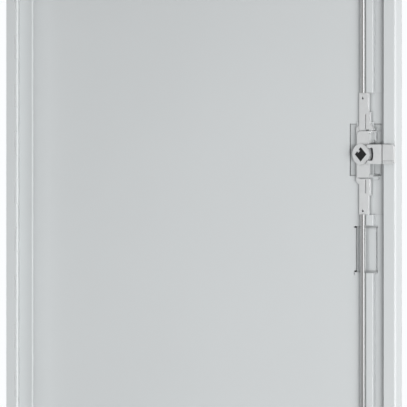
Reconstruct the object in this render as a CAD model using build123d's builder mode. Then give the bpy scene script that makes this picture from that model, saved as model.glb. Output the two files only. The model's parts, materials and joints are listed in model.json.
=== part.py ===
"""Steel enclosure door on a continuous (piano) hinge, with a three-point rod lock.

Row frame, millimetres: the origin is the middle of the frame leaf's row of screw holes,
on the face that lies against the enclosure. +Z is up, +X runs across the closed door from
the hinge to the lock side, and +Y points out of the enclosure. The door's inside faces -Y.
"""
from build123d import *
from math import acos, cos, pi, radians, sin, tan
import os

os.makedirs("parts", exist_ok=True)

# ---------------------------------------------------------------- driving dimensions
# continuous hinge
hinge_height = 780.0
knuckle_pitch = 30.0
knuckle_gap = 0.15
leaf_thickness = 1.0
barrel_r = 2.2
pin_r = 1.15
pin_clearance = 0.05
pin_x = 9.0
frame_leaf_left = -6.2
door_leaf_reach = 22.0
frame_hole_r = 2.25
frame_hole_z = (280.0, 370.0)

# door leaf
door_height = 800.0
sheet = 1.5
bend_r = 1.75
hinge_bend_r = 2.9
door_right = 584.8
rim_y = 15.3
door_depth = 15.0
lip_width = 17.8

# lock: spindle, gear and rod positions
spindle_x = 529.5
spindle_z = 60.5
gear_module = 1.0
gear_teeth = 15
gear_thickness = 3.6
backlash = 0.3
spindle_side = 7.0
hub_r = 12.8
rod_r = 3.5
rod_height = 5.2
rod_end_z = 401.0
rod_tip_r = 3.0
rod_tip_length = 9.0
upper_slide_end_z = 136.0
lower_slide_end_z = -13.6
slide_left = -6.2
slide_right = 7.8
slide_strip_right = 10.1

# openings in the door for the handle: left and right of the spindle, low and high
upper_cut = (-24.5, 24.0, 34.0, 98.3)
lower_cut = (-15.0, 17.6, -84.5, -27.8)
hook_slot = (-18.0, 18.4)
hook_slot_height = 2.2

# outside handle
handle_half_width = 29.0
handle_top_z = 128.0
handle_bottom_z = -112.0
handle_depth = 11.9
gasket = 1.0
carrier_r = 15.0
cylinder_z = -59.0
handle_screw_z = (121.0, -5.0, -99.0)

# guides that keep the rods against the door
guide_z = 300.0

# ---------------------------------------------------------------- derived dimensions
pin_y = barrel_r
door_left = pin_x + barrel_r
skin_y = rim_y + door_depth
floor_y = skin_y - sheet
lip_x = door_right - lip_width
rod_y = floor_y - rod_height
pitch_r = gear_module * gear_teeth / 2
knuckle_count = int(hinge_height / knuckle_pitch)
plate_y = floor_y - 1.5
gear_back_y = plate_y - 0.1
gear_front_y = gear_back_y - gear_thickness
case_back_y = gear_front_y - 0.1
case_front_y = case_back_y - 3.3
hub_back_y = case_front_y - 0.1
hub_front_y = hub_back_y - 1.9
arm_front_y = hub_front_y + 0.3
handle_back_y = skin_y + gasket
handle_front_y = handle_back_y + handle_depth
lever_pivot_y = handle_front_y + 6.0
screw_x = spindle_x + 0.8
behind_door = (floor_y - 6.0, skin_y + 6.0)
everywhere = (-60.0, 60.0)


def slab(x_range, y_range, z_range, mode=Mode.ADD):
    """Add a block to the part in progress from its limits along each axis."""
    size = [high - low for low, high in (x_range, y_range, z_range)]
    middle = [(high + low) / 2 for low, high in (x_range, y_range, z_range)]
    with Locations(Location(tuple(middle))):
        return Box(*size, mode=mode)


def across(low, high):
    """Turn offsets from the spindle into a range of x."""
    return (spindle_x + low, spindle_x + high)


def round_y(x, z, radius, y_range, mode=Mode.ADD):
    """Add a cylinder that lies along Y."""
    low, high = y_range
    with Locations(Location((x, (low + high) / 2, z), (90, 0, 0))):
        return Cylinder(radius, high - low, mode=mode)


def round_z(x, y, radius, z_range, mode=Mode.ADD):
    """Add a cylinder that stands along Z."""
    low, high = z_range
    with Locations(Location((x, y, (low + high) / 2))):
        return Cylinder(radius, high - low, mode=mode)


def inward(y):
    """A sketch plane across Y at the spindle, with its normal pointing into the enclosure."""
    return Plane(origin=(spindle_x, y, spindle_z), x_dir=(1, 0, 0), z_dir=(0, -1, 0))


def outward(y, z=spindle_z):
    """A sketch plane across Y, with its normal pointing out of the enclosure."""
    return Plane(origin=(spindle_x, y, z), x_dir=(-1, 0, 0), z_dir=(0, 1, 0))


def flat_shape(points, y_range, mode=Mode.ADD):
    """Add a flat shape from corners given beside the spindle and at their height."""
    low, high = y_range
    with BuildSketch(inward(high)) as outline:
        with BuildLine():
            Polyline(*[(side, height - spindle_z) for side, height in points], close=True)
        make_face()
    extrude(outline.sketch, amount=high - low, mode=mode)


def finish(part, label):
    """Name a finished piece and write it as its own STEP file."""
    part.part.label = label
    export_step(part.part, f"parts/{label}.step")


# ---------------------------------------------------------------- continuous hinge
relief = barrel_r + 0.15
half_hinge = hinge_height / 2
hinge_span = (-half_hinge, half_hinge)
frame_leaf_y = (0.0, leaf_thickness)
door_leaf_x = (door_left - leaf_thickness, door_left)


def knuckle_spans(first):
    """Give the height range of every second knuckle, from the first index."""
    for index in range(first, knuckle_count, 2):
        low = -half_hinge + index * knuckle_pitch + knuckle_gap / 2
        yield low, low + knuckle_pitch - knuckle_gap


def pin_hole():
    """Cut the pin's hole through the knuckles of a leaf."""
    round_z(pin_x, pin_y, pin_r + pin_clearance, (-400.0, 400.0), Mode.SUBTRACT)


with BuildPart() as hinge_frame_leaf:
    slab((frame_leaf_left, pin_x - relief), frame_leaf_y, hinge_span)
    for span in knuckle_spans(0):
        slab((pin_x - relief, pin_x), frame_leaf_y, span)
        round_z(pin_x, pin_y, barrel_r, span)
    pin_hole()
    for height in frame_hole_z:
        for side in (-1, 1):
            round_y(0.0, side * height, frame_hole_r, (-5.0, 5.0), Mode.SUBTRACT)
    fillet(hinge_frame_leaf.edges().filter_by(Axis.Y).group_by(Axis.X)[0], 3.0)
finish(hinge_frame_leaf, "hinge_frame_leaf")

with BuildPart() as hinge_door_leaf:
    slab(door_leaf_x, (pin_y + relief, pin_y + door_leaf_reach), hinge_span)
    for span in knuckle_spans(1):
        slab(door_leaf_x, (pin_y, pin_y + relief), span)
        round_z(pin_x, pin_y, barrel_r, span)
    pin_hole()
    fillet(hinge_door_leaf.edges().filter_by(Axis.X).group_by(Axis.Y)[-1], 3.0)
finish(hinge_door_leaf, "hinge_door_leaf")

with BuildPart() as hinge_pin:
    round_z(pin_x, pin_y, pin_r, (-half_hinge - 0.2, half_hinge + 0.2))
    for side in (-1, 1):
        round_z(pin_x, pin_y, 1.9, sorted((side * (half_hinge + 0.2), side * (half_hinge + 1.2))))
    ends = hinge_pin.edges().filter_by(GeomType.CIRCLE).group_by(Axis.Z)
    chamfer(ends[-1] + ends[0], 0.4)
finish(hinge_pin, "hinge_pin")

# ---------------------------------------------------------------- door leaf
half_sheet = sheet / 2
half_height = door_height / 2


def countersink(x, z, face_y):
    """Cut a countersink whose mouth is at face_y and opens into the enclosure."""
    with Locations(Location((x, face_y, z), (90, 0, 0))):
        Cone(3.7, 2.2, 1.5, align=(Align.CENTER, Align.CENTER, Align.MAX), mode=Mode.SUBTRACT)


with BuildPart() as door_panel:
    with BuildSketch(Plane.XY.offset(-half_height)):
        with BuildLine() as section:
            FilletPolyline(
                (door_left + half_sheet, pin_y + 0.6),
                (door_left + half_sheet, skin_y - half_sheet),
                (door_right - half_sheet, skin_y - half_sheet),
                (door_right - half_sheet, rim_y + half_sheet),
                (lip_x, rim_y + half_sheet),
                radius=(hinge_bend_r, bend_r, bend_r),
            )
        trace(section.line, line_width=sheet)
    extrude(amount=door_height)
    for side in (-1, 1):
        wall = sorted((side * half_height, side * (half_height - sheet)))
        lip = sorted((side * half_height, side * (half_height - lip_width)))
        slab((door_left + half_sheet, door_right - half_sheet), (rim_y, skin_y - half_sheet), wall)
        slab((door_left + half_sheet, door_right - 3.0), (rim_y, rim_y + sheet), lip)
        round_z(spindle_x, rod_y, 4.9, (wall[0] - 1, wall[1] + 1), Mode.SUBTRACT)
    slab(across(*upper_cut[:2]), behind_door, upper_cut[2:], Mode.SUBTRACT)
    slab(across(*lower_cut[:2]), behind_door, lower_cut[2:], Mode.SUBTRACT)
    # wider slots at the lower opening's ends, with small corner nicks, for the handle's hooks
    low, high = lower_cut[2:]
    slab(across(*hook_slot), behind_door, (high - hook_slot_height, high), Mode.SUBTRACT)
    slab(across(*hook_slot), behind_door, (low, low + hook_slot_height), Mode.SUBTRACT)
    for edge in (hook_slot[0] + 0.5, hook_slot[1] - 0.5):
        slab(across(edge - 0.5, edge + 0.5), behind_door, (low - 3.5, low), Mode.SUBTRACT)
    for height in handle_screw_z:
        round_y(screw_x, height, 2.2, behind_door, Mode.SUBTRACT)
    countersink(screw_x, handle_screw_z[2], floor_y)
finish(door_panel, "door_panel")

# a hat-section rail beside the rods stiffens the lock side
rail_left = 3.6
rail_right = 14.7
rail_flange = 28.0
rail_sheet = 1.0
rail_front_y = floor_y - 5.0


def rail_section(z_range):
    """Add the rail's folded section over a height range."""
    low, high = z_range
    with BuildSketch(Plane.XY.offset(low)) as folded:
        with BuildLine() as fold:
            FilletPolyline(
                (spindle_x + rail_left + 0.5, floor_y),
                (spindle_x + rail_left + 0.5, rail_front_y + 0.5),
                (spindle_x + rail_right - 0.5, rail_front_y + 0.5),
                (spindle_x + rail_right - 0.5, floor_y - 0.5),
                (spindle_x + rail_flange, floor_y - 0.5),
                radius=0.6,
            )
        trace(fold.line, line_width=rail_sheet)
    extrude(folded.sketch, amount=high - low)


with BuildPart() as lock_rail_upper:
    rail_section((upper_slide_end_z + 0.3, 380.0))
finish(lock_rail_upper, "lock_rail_upper")

with BuildPart() as lock_rail_lower:
    rail_section((-380.0, lower_slide_end_z - 0.3))
    rail_gap = (lower_cut[2] - 1.0, lower_cut[3] + 1.0)
    slab(across(-1.0, hook_slot[1] + 1.0), behind_door, rail_gap, Mode.SUBTRACT)
finish(lock_rail_lower, "lock_rail_lower")

# ---------------------------------------------------------------- lock base plate
with BuildPart() as lock_base_plate:
    slab(across(-8.7, 5.2), (plate_y, floor_y), (upper_cut[3] + 0.5, 134.0))
    slab(across(-8.7, 5.2), (plate_y, floor_y), (-13.0, upper_cut[2] - 1.5))
    slab(across(-12.9, 12.9), (plate_y, floor_y), (upper_cut[2] - 3.0, upper_cut[3] + 2.0))
    # tab beside the case, and the hook at the foot of the opening
    flat_shape([(12.0, 87.3), (17.2, 87.3), (17.2, 76.5), (12.0, 80.3)], (plate_y, floor_y))
    slab(across(12.0, 20.8), (plate_y - 0.3, floor_y), (29.5, 32.8))
    fillet(lock_base_plate.edges().filter_by(Axis.Y).group_by(Axis.X)[-1], 1.4)
    round_y(spindle_x, spindle_z, 6.05, everywhere, Mode.SUBTRACT)
    for height in handle_screw_z[:2]:
        countersink(screw_x, height, plate_y)
finish(lock_base_plate, "lock_base_plate")

# ---------------------------------------------------------------- lock case
case_low_z = 32.0
case_high_z = 89.0

with BuildPart() as lock_case:
    slab(across(-7.2, 11.1), (case_front_y, case_back_y), (case_low_z, case_high_z))
    # the roof's upper left corner is cut off, and its right side stands on two feet
    flat_shape([(-3.0, 89.5), (-6.1, 86.2), (-7.3, 83.5), (-14.0, 80.0), (-14.0, 89.5)],
               everywhere, Mode.SUBTRACT)
    round_y(spindle_x, spindle_z, hub_r + 0.6, (case_front_y, case_back_y))
    for foot in ((case_low_z + 1.0, case_low_z + 3.5), (case_high_z - 2.5, case_high_z)):
        slab(across(9.5, 12.9), (case_front_y + 0.5, case_back_y), foot)
        slab(across(11.0, 12.9), (case_front_y + 0.5, plate_y), foot)
    # ears beside the upper slide, and a bar over the pocket
    flat_shape([(-6.5, 95.5), (-10.3, 92.8), (-10.3, 82.5), (-6.5, 82.5)],
               (case_back_y - 0.2, plate_y))
    flat_shape([(11.0, 97.5), (15.5, 91.5), (15.5, 90.4), (11.0, 88.0)], (gear_front_y, plate_y))
    slab(across(11.0, 20.2), (gear_front_y - 1.3, gear_front_y + 0.7), (87.6, 89.0))
    round_y(spindle_x, spindle_z, 6.05, everywhere, Mode.SUBTRACT)
finish(lock_case, "lock_case")

# ---------------------------------------------------------------- gear train
pressure = radians(20.0)
base_r = pitch_r * cos(pressure)
tip_r = pitch_r + gear_module
root_r = pitch_r - 1.25 * gear_module


def involute_angle(radius):
    """Polar angle swept by the involute from the base circle out to a radius."""
    if radius <= base_r:
        return 0.0
    roll = acos(base_r / radius)
    return tan(roll) - roll


def tooth_outline(centre_angle):
    """Corner points of one pinion tooth, from root to tip and back."""
    half = (pi * gear_module / 2 - backlash / 2) / (2 * pitch_r) + involute_angle(pitch_r)
    radii = [root_r - 0.3] + [base_r + (tip_r - base_r) * step / 4 for step in range(5)]
    right = [(r, centre_angle - half + involute_angle(r)) for r in radii]
    left = [(r, centre_angle + half - involute_angle(r)) for r in reversed(radii)]
    return [(r * cos(a), r * sin(a)) for r, a in right + left]


with BuildPart() as drive_pinion:
    with BuildSketch(inward(gear_back_y)):
        Circle(root_r)
        for index in range(gear_teeth):
            with BuildLine():
                Polyline(*tooth_outline(2 * pi * index / gear_teeth), close=True)
            make_face()
    extrude(amount=gear_thickness)
    round_y(spindle_x, spindle_z, 6.0, (hub_back_y + 0.05, floor_y - 0.05))
    with BuildSketch(inward(floor_y + 1.0)):
        Rectangle(spindle_side + 0.1, spindle_side + 0.1, rotation=45)
    extrude(amount=20.0, mode=Mode.SUBTRACT)
finish(drive_pinion, "drive_pinion")

rack_addendum = 0.8
rack_dedendum = 1.1
rack_back = pitch_r + rack_dedendum
rack_edge = 10.9
tooth_pitch = pi * gear_module
gear_layer = (gear_front_y, gear_back_y)


def rack_tooth(side, centre_z):
    """Add one straight-sided rack tooth that points at the pinion."""
    half = (tooth_pitch / 2 - backlash / 2) / 2
    tip = half - rack_addendum * tan(pressure)
    root = half + rack_dedendum * tan(pressure)
    plane = Plane(origin=(spindle_x, gear_back_y, centre_z), x_dir=(side, 0, 0), z_dir=(0, -1, 0))
    with BuildSketch(plane) as tooth:
        with BuildLine():
            Polyline(
                (rack_back + 0.2, -root),
                (pitch_r - rack_addendum, -tip),
                (pitch_r - rack_addendum, tip),
                (rack_back + 0.2, root),
                close=True,
            )
        make_face()
    extrude(tooth.sketch, amount=gear_thickness)


def rack_arm(side, z_range):
    """Add the straight back of a rack."""
    slab(across(*sorted((side * rack_back, side * rack_edge))), gear_layer, z_range)


blade_half = 2.7
blade_y = (rod_y + 0.7, rod_y + 2.8)
pin_heights = (130.0, -8.5)


def blade_pocket(z_range):
    """Cut the pocket for a rod's flat end."""
    slab(across(-blade_half - 0.03, blade_half + 0.03), (blade_y[0] - 0.03, blade_y[1] + 0.03),
         z_range, Mode.SUBTRACT)


def lock_pin(height, side, y_range, mode=Mode.ADD):
    """Add the three-sided pin that locks a rod's blade in its slide."""
    flat_shape([(-0.8 - side, height - side), (-0.8 + side, height - side), (-0.8, height + side)],
               y_range, mode)


# the upper slide's rack is on the lock side of the pinion, so it moves down to unlock
with BuildPart() as upper_slide:
    slab(across(slide_left, slide_right), gear_layer, (112.4, upper_slide_end_z))
    slab(across(slide_left, slide_strip_right), gear_layer, (89.5, 112.4))
    rack_arm(1, (55.0, 97.0))
    for index in range(-2, 6):
        rack_tooth(1, spindle_z + (index + 0.5) * tooth_pitch)
    slab(across(3.0, 4.3), behind_door, (80.0, 109.5), Mode.SUBTRACT)
    slab(across(3.0, rack_back), gear_layer, (80.0, 91.0), Mode.SUBTRACT)
    blade_pocket((117.0, upper_slide_end_z + 1))
    lock_pin(pin_heights[0], 1.72, (gear_front_y - 1.0, blade_y[1]), Mode.SUBTRACT)
finish(upper_slide, "upper_slide")

with BuildPart() as lower_slide:
    slab(across(slide_left, slide_right), gear_layer, (lower_slide_end_z, 9.9))
    slab(across(slide_left, slide_strip_right), gear_layer, (9.9, 30.5))
    flat_shape([(slide_left + 1, 24.0), (-rack_edge + 3, 24.0), (-rack_edge, 27.5),
                (-rack_edge, 31.0), (slide_left + 1, 31.0)], gear_layer)
    rack_arm(-1, (27.5, 65.4))
    for index in range(-5, 2):
        rack_tooth(-1, spindle_z + index * tooth_pitch)
    slab(across(3.0, 4.3), behind_door, (12.4, 29.0), Mode.SUBTRACT)
    blade_pocket((lower_slide_end_z - 1, 5.4))
    lock_pin(pin_heights[1], 1.72, (gear_front_y - 1.0, blade_y[1]), Mode.SUBTRACT)
finish(lower_slide, "lower_slide")

# ---------------------------------------------------------------- rods
with BuildPart() as upper_rod:
    slab(across(-blade_half, blade_half), blade_y, (118.0, upper_slide_end_z + 0.5))
    round_z(spindle_x, rod_y, rod_r, (upper_slide_end_z + 0.1, rod_end_z))
    round_z(spindle_x, rod_y, rod_tip_r, (rod_end_z - 0.5, rod_end_z + rod_tip_length))
    chamfer(upper_rod.edges().filter_by(GeomType.CIRCLE).sort_by(Axis.Z)[-1], 2.0)
    lock_pin(pin_heights[0], 1.72, (gear_front_y - 1.0, blade_y[1] + 1.0), Mode.SUBTRACT)
finish(upper_rod, "upper_rod")

with BuildPart() as lower_rod:
    slab(across(-blade_half, blade_half), blade_y, (lower_slide_end_z - 0.5, 4.4))
    round_z(spindle_x, rod_y, rod_r, (-rod_end_z, lower_slide_end_z - 0.1))
    round_z(spindle_x, rod_y, rod_tip_r, (-rod_end_z - rod_tip_length, 0.5 - rod_end_z))
    chamfer(lower_rod.edges().filter_by(GeomType.CIRCLE).sort_by(Axis.Z)[0], 2.0)
    lock_pin(pin_heights[1], 1.72, (gear_front_y - 1.0, blade_y[1] + 1.0), Mode.SUBTRACT)
finish(lower_rod, "lower_rod")

with BuildPart() as rod_lock_pin_upper:
    lock_pin(pin_heights[0], 1.7, (blade_y[0] + 1.0, blade_y[1]))
finish(rod_lock_pin_upper, "rod_lock_pin_upper")

with BuildPart() as rod_lock_pin_lower:
    lock_pin(pin_heights[1], 1.7, (blade_y[0] + 1.0, blade_y[1]))
finish(rod_lock_pin_lower, "rod_lock_pin_lower")

guide_front_y = rod_y - rod_r - 2.2
stud_offset = -13.5


def rod_guide(side):
    """Add a guide block with a foot, around a rod, at one end of the door."""
    low, high = sorted((side * (guide_z - 8.0), side * (guide_z + 8.0)))
    slab(across(-7.0, rail_left - 0.1), (guide_front_y, floor_y), (low, high))
    slab(across(rail_left - 0.1, rail_right - 1.5), (guide_front_y, rail_front_y), (low, high))
    slab(across(-20.0, -7.0), (floor_y - 3.0, floor_y), (low, high))
    round_z(spindle_x, rod_y, rod_r + 0.06, (low - 1, high + 1), Mode.SUBTRACT)
    round_y(spindle_x + stud_offset, side * guide_z, 2.1, behind_door, Mode.SUBTRACT)


def rod_bush(side):
    """Add a bush for a rod, in the door's top or bottom wall."""
    inside = half_height - sheet
    low, high = sorted((side * (inside - 3.0), side * inside))
    slab(across(-9.0, 9.0), (rod_y - 5.0, floor_y - 0.1), (low, high))
    round_z(spindle_x, rod_y, 4.88, sorted((side * (inside - 1.0), side * half_height)))
    round_z(spindle_x, rod_y, rod_r + 0.06, sorted((side * 380.0, side * 410.0)), Mode.SUBTRACT)


with BuildPart() as rod_guide_upper:
    rod_guide(1)
finish(rod_guide_upper, "rod_guide_upper")

with BuildPart() as rod_guide_lower:
    rod_guide(-1)
finish(rod_guide_lower, "rod_guide_lower")

with BuildPart() as rod_bush_upper:
    rod_bush(1)
finish(rod_bush_upper, "rod_bush_upper")

with BuildPart() as rod_bush_lower:
    rod_bush(-1)
finish(rod_bush_lower, "rod_bush_lower")

with BuildPart() as guide_studs:
    for side in (-1, 1):
        round_y(spindle_x + stud_offset, side * guide_z, 2.0, (floor_y - 8.6, floor_y))
finish(guide_studs, "guide_studs")

with BuildPart() as guide_nuts:
    for side in (-1, 1):
        plane = Plane(origin=(spindle_x + stud_offset, floor_y - 3.0, side * guide_z),
                      x_dir=(1, 0, 0), z_dir=(0, -1, 0))
        with BuildSketch(plane):
            RegularPolygon(3.5, 6, major_radius=False)
            Circle(2.02, mode=Mode.SUBTRACT)
        extrude(amount=3.2)
finish(guide_nuts, "guide_nuts")

# ---------------------------------------------------------------- hub, plug and tongue
plug_side = 12.7
rivet_r = 1.5
rivet_front_y = arm_front_y - 1.6
rivet_x = 27.5


def rivet_holes(back_y):
    """Cut the two holes for the rivets between the hub's arm and the tongue."""
    for side in (-1, 1):
        round_y(spindle_x + rivet_x, spindle_z + side * 6.0, rivet_r + 0.02,
                (rivet_front_y - 0.02, back_y), Mode.SUBTRACT)


tongue_half = 12.0
window_r = 23.7
window_height = 15.8


def hub_key(width, length):
    """Cut the key, which points from the socket's upper left side, out of a sketch."""
    with Locations((-3.6, 4.4)):
        Rectangle(width, length, rotation=45, mode=Mode.SUBTRACT)


def round_window(y):
    """Cut the window beside the hub, whose far side is round about the spindle."""
    with BuildSketch(inward(y)) as opening:
        Circle(window_r)
        Rectangle(60.0, window_height, mode=Mode.INTERSECT)
    extrude(opening.sketch, amount=20.0, mode=Mode.SUBTRACT)


with BuildPart() as hub_cap:
    slab(across(8.0, 32.0), (arm_front_y, hub_back_y),
         (spindle_z - tongue_half, spindle_z + tongue_half))
    round_window(hub_back_y + 1.0)
    round_y(spindle_x, spindle_z, hub_r, (hub_front_y, hub_back_y))
    fillet(hub_cap.edges().filter_by(GeomType.CIRCLE).sort_by(Axis.Y)[0], 0.25)
    rivet_holes(hub_back_y + 1.0)
    with BuildSketch(inward(hub_back_y)):
        Rectangle(spindle_side + 0.1, spindle_side + 0.1, rotation=45)
    extrude(amount=10.0, mode=Mode.SUBTRACT)
    with BuildSketch(inward(hub_back_y - 0.5)):
        Rectangle(plug_side + 0.1, plug_side + 0.1, rotation=45)
        hub_key(3.3, 3.6)
    extrude(amount=10.0, mode=Mode.SUBTRACT)
finish(hub_cap, "hub_cap")

with BuildPart() as hub_plug:
    with BuildSketch(inward(hub_back_y - 0.52)):
        Rectangle(plug_side, plug_side, rotation=45)
        hub_key(3.4, 3.7)
    extrude(amount=0.7)
finish(hub_plug, "hub_plug")

tongue_start = 14.4
tongue_reach = 56.5
tongue_plate = 2.6
step_start = 37.0
step_end = 40.3
tongue_back_y = rim_y - 0.3

with BuildPart() as tongue:
    with BuildSketch(Plane.XY.offset(spindle_z - tongue_half)):
        with BuildLine():
            Polyline(
                (spindle_x + tongue_start, tongue_back_y),
                (spindle_x + step_start, tongue_back_y),
                (spindle_x + step_end, tongue_back_y - tongue_plate),
                (spindle_x + tongue_reach, tongue_back_y - tongue_plate),
                (spindle_x + tongue_reach, tongue_back_y - 2 * tongue_plate),
                (spindle_x + step_end, tongue_back_y - 2 * tongue_plate),
                (spindle_x + step_start, tongue_back_y - tongue_plate),
                (spindle_x + tongue_start, tongue_back_y - tongue_plate),
                close=True,
            )
        make_face()
    extrude(amount=2 * tongue_half)
    chamfer(tongue.edges().filter_by(Axis.Y).group_by(Axis.X)[-1], 2.5)
    # lead-in slope along the lower edge of the tip
    catch = tongue.edges().filter_by(Axis.X).group_by(Axis.Y)[0].sort_by(Axis.Z)[0]
    chamfer(catch, 0.8, 2.6)
    # grooves across the step and above the lead-in slope
    tip_front_y = tongue_back_y - 2 * tongue_plate
    slab(across(step_start - 0.6, step_start + 0.7), (tip_front_y - 1, tip_front_y + 3.6),
         (0.0, 100.0), Mode.SUBTRACT)
    slab(across(step_end, tongue_reach + 1), (tip_front_y - 1, tip_front_y + 0.8), (51.9, 52.8),
         Mode.SUBTRACT)
    # post between the plate and the hub's arm
    slab(across(24.2, 31.0), (tongue_back_y - 0.5, arm_front_y), (spindle_z - 9.5, spindle_z + 9.5))
    round_window(arm_front_y + 1.0)
    rivet_holes(arm_front_y + 1.0)
finish(tongue, "tongue")

with BuildPart() as tongue_rivets:
    for side in (-1, 1):
        round_y(spindle_x + rivet_x, spindle_z + side * 6.0, rivet_r,
                (rivet_front_y, hub_back_y - 0.02))
finish(tongue_rivets, "tongue_rivets")

spindle_inner_y = hub_back_y - 0.48
spindle_outer_y = handle_front_y - 1.5

with BuildPart() as spindle:
    with BuildSketch(inward(spindle_outer_y)):
        Rectangle(spindle_side, spindle_side, rotation=45)
    extrude(amount=spindle_outer_y - spindle_inner_y)
finish(spindle, "spindle")

# ---------------------------------------------------------------- outside handle
handle_centre_z = (handle_top_z + handle_bottom_z) / 2
handle_length = handle_top_z - handle_bottom_z
boss_y = floor_y + 0.7


def window(limits, inset):
    """Sketch a block-shaped window or boss from its limits beside the spindle."""
    left, right, low, high = limits
    with Locations((-(left + right) / 2, (low + high) / 2 - spindle_z)):
        RectangleRounded(right - left - 2 * inset, high - low - 2 * inset, 1.5)


with BuildPart() as handle_gasket:
    with BuildSketch(outward(skin_y, handle_centre_z)):
        RectangleRounded(2 * handle_half_width, handle_length, 20.0)
    extrude(amount=gasket)
    with BuildSketch(outward(skin_y)):
        window(upper_cut, -0.5)
        window(lower_cut, -0.5)
    extrude(amount=gasket, mode=Mode.SUBTRACT)
    for height in handle_screw_z:
        round_y(screw_x, height, 2.2, everywhere, Mode.SUBTRACT)
finish(handle_gasket, "handle_gasket")

cover_area = (-7.5, 16.2, -82.0, -30.2)
cover_sheet = 1.0
cam_y = (boss_y + cover_sheet + 0.3, boss_y + cover_sheet + 2.0)
housing_y = cam_y[1] + 0.3

with BuildPart() as handle_base:
    with BuildSketch(outward(handle_back_y, handle_centre_z)):
        RectangleRounded(2 * handle_half_width, handle_length, 20.0)
    extrude(amount=handle_depth)
    fillet(handle_base.edges().group_by(Axis.Y)[-1], 2.5)
    with BuildSketch(outward(boss_y)):
        window(upper_cut, 1.2)
        window(lower_cut, 1.2)
    extrude(amount=handle_back_y - boss_y)
    # narrow slits beside the lock case and a groove along the lower boss
    slab(across(15.1, 16.8), (boss_y - 1, boss_y + 5), (76.0, 87.0), Mode.SUBTRACT)
    slab(across(12.6, 21.0), (boss_y - 1, boss_y + 5), (34.0, 36.4), Mode.SUBTRACT)
    slab(across(-12.8, -9.2), (boss_y - 1, boss_y + 0.9), (-83.0, -29.3), Mode.SUBTRACT)
    # seat for the cam cover, and the pocket in which the cam turns
    slab(across(cover_area[0] - 0.05, cover_area[1] + 0.05), (boss_y - 1, boss_y + cover_sheet),
         (cover_area[2] - 0.05, cover_area[3] + 0.05), Mode.SUBTRACT)
    slab(across(-7.0, 15.8), (boss_y, housing_y), (-68.0, -42.0), Mode.SUBTRACT)
    round_y(spindle_x, cylinder_z, 9.05, (boss_y + cover_sheet, 60.0), Mode.SUBTRACT)
    # bearing for the lever carrier
    round_y(spindle_x, spindle_z, carrier_r + 0.05, (handle_back_y + 2.9, 60.0), Mode.SUBTRACT)
    round_y(spindle_x, spindle_z, 6.2, everywhere, Mode.SUBTRACT)
    for height in handle_screw_z:
        round_y(screw_x, height, 2.02, (0.0, handle_front_y - 3.0), Mode.SUBTRACT)
finish(handle_base, "handle_base")

with BuildPart() as cam_cover:
    slab(across(*cover_area[:2]), (boss_y, boss_y + cover_sheet), cover_area[2:])
    # its right half is pressed out to the level of the door sheet
    slab(across(0.2, cover_area[1]), (floor_y - 0.5, boss_y), cover_area[2:])
finish(cam_cover, "cam_cover")

with BuildPart() as handle_screws:
    for height, head_y in zip(handle_screw_z, (plate_y, plate_y, floor_y)):
        round_y(screw_x, height, 2.0, (head_y + 0.2, handle_front_y - 3.5))
        with Locations(Location((screw_x, head_y + 0.05, height), (90, 0, 0))):
            Cone(3.6, 2.0, 1.4, align=(Align.CENTER, Align.CENTER, Align.MAX))
        slab((screw_x - 2.4, screw_x + 2.4), (head_y - 3.0, head_y + 0.6),
             (height - 0.4, height + 0.4), Mode.SUBTRACT)
finish(handle_screws, "handle_screws")

ear_inner = 11.3
ear_outer = 14.2
pivot_eye_r = 5.6
carrier_back_y = handle_back_y + 2.95
carrier_front_y = handle_front_y + 0.2
eye_drop = lever_pivot_y - carrier_front_y + 0.1

with BuildPart() as lever_carrier:
    round_y(spindle_x, spindle_z, carrier_r, (carrier_back_y, carrier_front_y))
    for side in (-1, 1):
        low, high = sorted((side * ear_inner, side * ear_outer))
        plane = Plane(origin=(spindle_x + low, lever_pivot_y, spindle_z), x_dir=(0, 0, 1),
                      z_dir=(1, 0, 0))
        with BuildSketch(plane):
            Circle(pivot_eye_r)
            with Locations((0.0, eye_drop / 2)):
                Rectangle(2 * pivot_eye_r, eye_drop)
        extrude(amount=high - low)
    with Locations(Location((spindle_x, lever_pivot_y, spindle_z), (0, 90, 0))):
        Cylinder(2.05, 40.0, mode=Mode.SUBTRACT)
    with BuildSketch(inward(spindle_outer_y + 0.1)):
        Rectangle(spindle_side + 0.1, spindle_side + 0.1, rotation=45)
    extrude(amount=12.0, mode=Mode.SUBTRACT)
finish(lever_carrier, "lever_carrier")

with BuildPart() as lever_pin:
    with Locations(Location((spindle_x, lever_pivot_y, spindle_z), (0, 90, 0))):
        Cylinder(2.0, 2 * ear_outer + 0.2)
finish(lever_pin, "lever_pin")

lever_back_y = handle_front_y + 0.4
lever_front_y = lever_pivot_y + pivot_eye_r
lever_neck = 11.1
lever_half_width = 14.0
lever_end = -162.5

with BuildPart() as lever:
    with BuildSketch(outward(lever_back_y)):
        with BuildLine():
            Polyline(
                (-lever_neck, 0.0),
                (lever_neck, 0.0),
                (lever_neck, -20.0),
                (lever_half_width, -60.0),
                (lever_half_width, lever_end + 12.5),
                (9.0, lever_end),
                (-9.0, lever_end),
                (-lever_half_width, lever_end + 12.5),
                (-lever_half_width, -60.0),
                (-lever_neck, -20.0),
                close=True,
            )
        make_face()
    extrude(amount=lever_front_y - lever_back_y)
    fillet(lever.edges().filter_by(Axis.Y).group_by(Axis.Z)[0], 6.0)
    fillet(lever.faces().sort_by(Axis.Y)[-1].edges().sort_by(Axis.Z)[:-1], 2.0)
    with Locations(Location((spindle_x, lever_pivot_y, spindle_z), (0, 90, 0))):
        Cylinder(pivot_eye_r, 2 * lever_neck)
        Cylinder(2.05, 40.0, mode=Mode.SUBTRACT)
    # window over the key cylinder
    with BuildSketch(outward(lever_back_y)):
        with Locations((0.0, cylinder_z - spindle_z)):
            RectangleRounded(20.0, 28.0, 9.9)
    extrude(amount=20.0, mode=Mode.SUBTRACT)
finish(lever, "lever")

# ---------------------------------------------------------------- key cylinder
plug_r = 6.0

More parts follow.
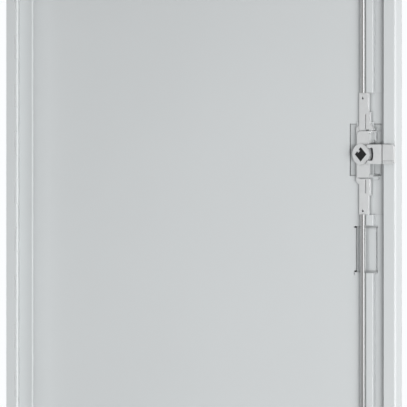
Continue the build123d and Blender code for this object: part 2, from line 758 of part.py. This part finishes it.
with BuildPart() as cylinder_housing:
    round_y(spindle_x, cylinder_z, 9.0, (housing_y, handle_front_y))
    round_y(spindle_x, cylinder_z, plug_r + 0.05, everywhere, Mode.SUBTRACT)
finish(cylinder_housing, "cylinder_housing")

with BuildPart() as cylinder_plug:
    round_y(spindle_x, cylinder_z, plug_r, (cam_y[1] + 0.02, handle_front_y - 0.3))
    slab(across(-0.7, 0.7), (handle_front_y - 8.0, handle_front_y + 5.0),
         (cylinder_z - 3.6, cylinder_z + 3.6), Mode.SUBTRACT)
finish(cylinder_plug, "cylinder_plug")

with BuildPart() as cylinder_cam:
    round_y(spindle_x, cylinder_z, plug_r, cam_y)
    slab(across(-3.0, 3.0), cam_y, (cylinder_z, cylinder_z + 12.0))
    round_y(spindle_x, cylinder_z + 12.0, 3.0, cam_y)
finish(cylinder_cam, "cylinder_cam")
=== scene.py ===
"""Looks for the enclosure door on its piano hinge: finer meshes, materials, light and camera."""

import json
from math import cos, radians, sin

import bmesh
import bpy
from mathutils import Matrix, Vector

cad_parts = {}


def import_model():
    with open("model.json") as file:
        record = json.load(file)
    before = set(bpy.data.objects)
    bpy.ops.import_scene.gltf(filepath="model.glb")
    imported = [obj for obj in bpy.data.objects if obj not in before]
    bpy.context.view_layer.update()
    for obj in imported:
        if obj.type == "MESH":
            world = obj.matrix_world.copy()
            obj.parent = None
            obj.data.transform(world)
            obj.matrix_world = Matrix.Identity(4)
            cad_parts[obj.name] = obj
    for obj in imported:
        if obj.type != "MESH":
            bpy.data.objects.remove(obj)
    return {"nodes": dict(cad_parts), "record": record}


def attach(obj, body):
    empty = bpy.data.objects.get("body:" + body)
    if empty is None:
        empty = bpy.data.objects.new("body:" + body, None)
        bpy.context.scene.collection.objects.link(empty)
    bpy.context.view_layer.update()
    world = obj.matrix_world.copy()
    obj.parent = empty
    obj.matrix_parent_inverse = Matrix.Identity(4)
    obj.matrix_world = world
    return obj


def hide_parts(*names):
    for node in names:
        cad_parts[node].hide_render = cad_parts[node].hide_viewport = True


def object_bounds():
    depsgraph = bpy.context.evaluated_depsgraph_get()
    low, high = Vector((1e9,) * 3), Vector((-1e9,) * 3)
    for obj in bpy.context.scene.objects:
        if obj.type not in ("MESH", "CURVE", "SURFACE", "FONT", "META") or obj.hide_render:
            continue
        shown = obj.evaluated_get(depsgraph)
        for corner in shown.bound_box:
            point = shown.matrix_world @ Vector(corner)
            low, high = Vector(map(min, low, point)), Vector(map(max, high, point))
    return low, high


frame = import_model()
cad_low, cad_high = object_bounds()

MM = 0.001


# ---------------------------------------------------------------- materials
class Nodes:
    """A small helper that builds one node material."""

    def __init__(self, name):
        self.material = bpy.data.materials.new(name)
        self.material.use_nodes = True
        self.tree = self.material.node_tree
        self.shader = self.tree.nodes["Principled BSDF"]

    def add(self, kind, inputs=None, **settings):
        node = self.tree.nodes.new(kind)
        for key, value in settings.items():
            setattr(node, key, value)
        for key, value in (inputs or {}).items():
            self.put(value, node.inputs[key])
        return node

    def put(self, value, socket):
        if isinstance(value, bpy.types.NodeSocket):
            self.tree.links.new(value, socket)
        else:
            socket.default_value = value

    def set(self, **inputs):
        for key, value in inputs.items():
            self.put(value, self.shader.inputs[key.replace("_", " ")])

    def place(self):
        """Object coordinates, which are the row frame's metres."""
        return self.add("ShaderNodeTexCoord").outputs["Object"]

    def stretched(self, scale):
        mapping = self.add("ShaderNodeMapping", {"Vector": self.place(), "Scale": scale})
        return mapping.outputs["Vector"]

    def noise(self, scale, detail=2.0, where=None):
        inputs = {"Vector": where or self.place(), "Scale": scale, "Detail": detail}
        return self.add("ShaderNodeTexNoise", inputs).outputs["Fac"]

    def between(self, factor, low, high):
        """Map a 0 to 1 factor to a range of values."""
        inputs = {"Value": factor, "From Min": 0.3, "From Max": 0.7, "To Min": low, "To Max": high}
        return self.add("ShaderNodeMapRange", inputs).outputs["Result"]

    def mix(self, factor, first, second):
        node = self.add("ShaderNodeMix", {0: factor}, data_type="RGBA")
        self.put(first, node.inputs[6])
        self.put(second, node.inputs[7])
        return node.outputs[2]

    def bump(self, height, strength, distance):
        inputs = {"Height": height, "Strength": strength, "Distance": distance}
        self.put(self.add("ShaderNodeBump", inputs).outputs["Normal"], self.shader.inputs["Normal"])

    def painted_shade(self, colour, reach, depth):
        """Painted shade: darken a colour in deep corners and beside other parts, where less light
        reaches.
        """
        open_sky = self.add("ShaderNodeAmbientOcclusion", {"Distance": reach}, samples=12)
        shade = self.add("ShaderNodeMapRange", {"Value": open_sky.outputs["AO"], "To Min": 1.0 - depth})
        scale = self.add("ShaderNodeVectorMath", {0: colour, 1: shade.outputs["Result"]},
                         operation="MULTIPLY")
        return scale.outputs["Vector"]


def grey(level, tint=(1.0, 1.0, 1.0)):
    return (level * tint[0], level * tint[1], level * tint[2], 1.0)


COOL = (0.965, 1.0, 1.01)
PALE = (0.985, 1.0, 1.005)
PAINT_SHADE_REACH = 28 * MM
ZINC_SHADE_REACH = 3 * MM


def powder_coat(name, level, tint=COOL, roughness=0.42):
    """Semi-matt powder coat with its fine orange-peel texture."""
    n = Nodes(name)
    cloud = n.noise(6.0, 3.0)
    paint = n.mix(n.between(cloud, 0.0, 1.0), grey(level * 0.985, tint), grey(level, tint))
    n.set(
        # painted shade: the coat's colour is darkened near walls, folds and neighbouring parts
        Base_Color=n.painted_shade(paint, PAINT_SHADE_REACH, 0.35),
        Roughness=n.between(n.noise(90.0), roughness - 0.03, roughness + 0.05),
        Specular_IOR_Level=0.45,
    )
    n.bump(n.noise(900.0, 2.0), 0.25, 0.03 * MM)
    return n.material


def zinc_plate(name, level, roughness=0.34):
    """Bright zinc plate on a pressed or cast part: milky, faintly clouded."""
    n = Nodes(name)
    cloud = n.noise(140.0, 5.0)
    scuffs = n.noise(60.0, 6.0, n.stretched((30.0, 30.0, 2.0)))
    plate = n.mix(n.between(cloud, 0.0, 1.0), grey(level * 0.95, PALE), grey(level, PALE))
    n.set(
        # painted shade: the plate's colour is darkened in tight corners and along the lines where parts
        # meet
        Base_Color=n.painted_shade(plate, ZINC_SHADE_REACH, 0.45),
        Metallic=0.3,
        Roughness=n.between(scuffs, roughness - 0.05, roughness + 0.08),
    )
    n.bump(n.noise(700.0, 3.0), 0.2, 0.02 * MM)
    return n.material


def drawn_steel(name, level, roughness=0.2, along=(40.0, 40.0, 1.0)):
    """Drawn bar or wire: bright, with fine lines along its length."""
    n = Nodes(name)
    lines = n.noise(90.0, 4.0, n.stretched(along))
    n.set(
        Base_Color=n.mix(n.between(lines, 0.0, 1.0), grey(level * 0.9), grey(level)),
        Metallic=1.0,
        Roughness=n.between(lines, roughness - 0.05, roughness + 0.08),
    )
    n.bump(lines, 0.12, 0.02 * MM)
    return n.material


def moulded(name, colour, roughness=0.5, grain=1200.0):
    """Moulded plastic with a fine spark-eroded grain."""
    n = Nodes(name)
    lighter = tuple(min(1.0, 1.12 * channel) for channel in colour[:3]) + (1.0,)
    cloud = n.noise(25.0, 3.0)
    n.set(
        Base_Color=n.mix(n.between(cloud, 0.0, 1.0), colour, lighter),
        Roughness=n.between(n.noise(300.0), roughness - 0.06, roughness + 0.06),
    )
    n.bump(n.noise(grain, 2.0), 0.3, 0.03 * MM)
    return n.material


MATERIALS = {
    "door_paint": powder_coat("door_paint", 0.60),
    "hinge_steel": powder_coat("hinge_paint", 0.63),
    "pin_steel": drawn_steel("pin_wire", 0.6),
    "zinc_plate": zinc_plate("zinc_plate", 0.7),
    "bright_rod": drawn_steel("bright_bar", 0.92, 0.19),
    "dark_steel": zinc_plate("fastener_zinc", 0.45, 0.3),
    "black_plastic": moulded("black_polyamide", (0.009, 0.009, 0.0095, 1.0), 0.6),
    "nylon": moulded("natural_polyamide", (0.62, 0.61, 0.57, 1.0), 0.42),
    "rubber": moulded("black_rubber", (0.015, 0.015, 0.015, 1.0), 0.75, 500.0),
    "handle_coating": powder_coat("handle_paint", 0.54),
    "nickel": drawn_steel("satin_nickel", 0.6, 0.28, (2.0, 40.0, 2.0)),
}

slot_of = {entry["node"]: entry["material_slot"] for entry in frame["record"]["subparts"]}
for name, node in frame["nodes"].items():
    node.data.materials.clear()
    node.data.materials.append(MATERIALS[slot_of[name]])


# ---------------------------------------------------------------- finer meshes of pressed parts
def body_of(node_name):
    for body, members in frame["record"]["behaviour"]["bodies"].items():
        if node_name in members:
            return body
    raise KeyError(node_name)


def soften(node_name, width, segments=2, angle=30.0):
    """Stand in for a CAD node with the same shape, with its edges rounded."""
    source = frame["nodes"][node_name]
    mesh = source.data.copy()
    grid = bmesh.new()
    grid.from_mesh(mesh)
    bmesh.ops.remove_doubles(grid, verts=grid.verts, dist=0.002 * MM)
    bmesh.ops.dissolve_limit(
        grid, angle_limit=radians(0.5), verts=grid.verts, edges=grid.edges, delimit=set()
    )
    grid.to_mesh(mesh)
    grid.free()
    piece = bpy.data.objects.new(node_name + "_piece", mesh)
    bpy.context.scene.collection.objects.link(piece)
    bevel = piece.modifiers.new("edges", "BEVEL")
    bevel.width = width
    bevel.segments = segments
    bevel.limit_method = "ANGLE"
    bevel.angle_limit = radians(angle)
    bevel.use_clamp_overlap = True
    bevel.harden_normals = False
    for face in mesh.polygons:
        face.use_smooth = True
    weighted = piece.modifiers.new("normals", "WEIGHTED_NORMAL")
    weighted.keep_sharp = True
    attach(piece, body_of(node_name))
    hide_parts(node_name)


for node_name, width in (
    ("lock_case", 0.6 * MM),
    ("upper_slide", 0.45 * MM),
    ("lower_slide", 0.45 * MM),
    ("tongue", 0.5 * MM),
    ("hub_cap", 0.25 * MM),
    ("lock_base_plate", 0.2 * MM),
    ("cam_cover", 0.4 * MM),
    ("rod_guide_upper", 0.5 * MM),
    ("rod_guide_lower", 0.5 * MM),
    ("lever_carrier", 0.4 * MM),
):
    soften(node_name, width)


# ---------------------------------------------------------------- floor, light and camera
FLOOR_SIZE = 8.0
FLOOR_GAP = 2 * MM
FLOOR_GLOW = (0.92, 0.93, 0.94, 1.0)
FLOOR_GLOW_SHARE = 0.7


def floor():
    """A plain pale floor just below the door. No lamp lights it, so it glows for the camera alone."""
    place = (0.28, 0.0, cad_low.z - FLOOR_GAP)
    bpy.ops.mesh.primitive_plane_add(size=FLOOR_SIZE, location=place)
    plane = bpy.context.object
    plane.name = "studio_floor"
    n = Nodes("studio_floor")
    n.set(Base_Color=(0.8, 0.8, 0.8, 1.0), Roughness=0.9)
    glow = n.add("ShaderNodeEmission", {"Color": FLOOR_GLOW})
    by_camera = n.add("ShaderNodeLightPath").outputs["Is Camera Ray"]
    share = n.add("ShaderNodeMath", {0: by_camera, 1: FLOOR_GLOW_SHARE}, operation="MULTIPLY")
    seen = n.add("ShaderNodeMixShader", {0: share.outputs[0], 1: n.shader.outputs[0], 2: glow.outputs[0]})
    n.put(seen.outputs[0], n.tree.nodes["Material Output"].inputs["Surface"])
    plane.data.materials.append(n.material)


# how bright the studio looks in reflections, from its left side (0) across to its right (1)
REFLECTED = ((0.0, 0.3), (0.2, 0.42), (0.4, 0.42), (0.6, 0.2), (0.72, 0.2), (0.88, 1.35))
SKY_TINT = (0.97, 0.985, 1.0, 1.0)
SKY_STRENGTH = 0.2


def world():
    """White to the camera, a soft sky for diffuse light, and lit sides in reflections."""
    sky = bpy.data.worlds.new("studio")
    bpy.context.scene.world = sky
    sky.use_nodes = True
    tree = sky.node_tree
    tree.nodes.clear()
    add, link = tree.nodes.new, tree.links.new

    def background(strength):
        node = add("ShaderNodeBackground")
        node.inputs["Color"].default_value = SKY_TINT
        node.inputs["Strength"].default_value = strength
        return node

    def choose(factor, first, second):
        node = add("ShaderNodeMixShader")
        for place, source in enumerate((factor, first.outputs[0], second.outputs[0])):
            link(source, node.inputs[place])
        return node

    path = add("ShaderNodeLightPath")
    direction = add("ShaderNodeSeparateXYZ")
    link(add("ShaderNodeTexCoord").outputs["Generated"], direction.inputs[0])
    across = add("ShaderNodeMapRange")
    across.inputs["From Min"].default_value = -1.0
    link(direction.outputs["X"], across.inputs["Value"])
    ramp = add("ShaderNodeValToRGB")
    stops = ramp.color_ramp.elements
    for index, (position, level) in enumerate(REFLECTED):
        stop = stops[index] if index < len(stops) else stops.new(position)
        stop.position = position
        stop.color = (level, level, level, 1.0)
    link(across.outputs["Result"], ramp.inputs["Fac"])
    reflected = background(1.0)
    link(ramp.outputs["Color"], reflected.inputs["Color"])
    lit = choose(path.outputs["Is Glossy Ray"], background(SKY_STRENGTH), reflected)
    seen = choose(path.outputs["Is Camera Ray"], lit, background(1.0))
    link(seen.outputs[0], add("ShaderNodeOutputWorld").inputs["Surface"])


# each lamp: its place, the point it faces, its width and height in metres, its power in watts
LAMPS = {
    "key_light": ((2.6, -1.9, -0.2), (0.3, 0.02, 0.0), (0.6, 0.4), 58.5),
    "side_light": ((2.9, -1.35, -0.2), (0.3, 0.02, 0.0), (0.6, 0.4), 25.5),
    "back_light": ((1.5, 0.6, 0.0), (0.58, 0.02, 0.0), (0.4, 0.8), 4.6),
    "front_light": ((-0.02, -1.3, -0.2), (0.05, 0.02, 0.0), (0.6, 0.4), 6.1),
    "rear_light": ((-0.9, 2.3, 0.7), (0.29, 0.03, 0.0), (1.2, 1.2), 38.0),
}
GLINTING_LAMP = "key_light"
POLISHED = ("upper_rod", "lower_rod")


def lamp(name, place, target, size, power):
    """An area lamp that skips the floor. Only one lamp glints, and not in the polished rods."""
    glints = name == GLINTING_LAMP
    light = bpy.data.lights.new(name, "AREA")
    light.shape = "RECTANGLE"
    light.size, light.size_y = size
    light.energy = power
    holder = bpy.data.objects.new(name, light)
    holder.location = place
    holder.rotation_euler = (Vector(target) - Vector(place)).to_track_quat("-Z", "Y").to_euler()
    holder.visible_glossy = glints
    bpy.context.scene.collection.objects.link(holder)
    # the lamps stand low and would leave hard patches on the floor
    unlit = [bpy.data.objects["studio_floor"]]
    if glints:
        unlit += [frame["nodes"][rod] for rod in POLISHED]
    spared = bpy.data.collections.new(name + "_spares")
    holder.light_linking.receiver_collection = spared
    for index, thing in enumerate(unlit):
        spared.objects.link(thing)
        spared.collection_objects[index].light_linking.link_state = "EXCLUDE"


AZIMUTH = radians(37.0)
LENS = 1600.0
SENSOR = 36.0
FIELD = 503.5 * MM
AIM = Vector((290.0 * MM, 15.3 * MM, 0.0))


def camera():
    """A long lens level with the middle of the door, 37 degrees round to the lock side."""
    data = bpy.data.cameras.new("camera")
    data.lens = LENS
    data.sensor_width = SENSOR
    distance = FIELD * LENS / SENSOR
    data.clip_start, data.clip_end = 1.0, distance + 20.0
    holder = bpy.data.objects.new("camera", data)
    back = Vector((sin(AZIMUTH), -cos(AZIMUTH), 0.0))
    holder.location = AIM + distance * back
    holder.rotation_euler = (-back).to_track_quat("-Z", "Y").to_euler()
    bpy.context.scene.collection.objects.link(holder)
    bpy.context.scene.camera = holder


floor()
world()
for lamp_name, settings in LAMPS.items():
    lamp(lamp_name, *settings)
camera()
bpy.context.scene.view_settings.view_transform = "Standard"
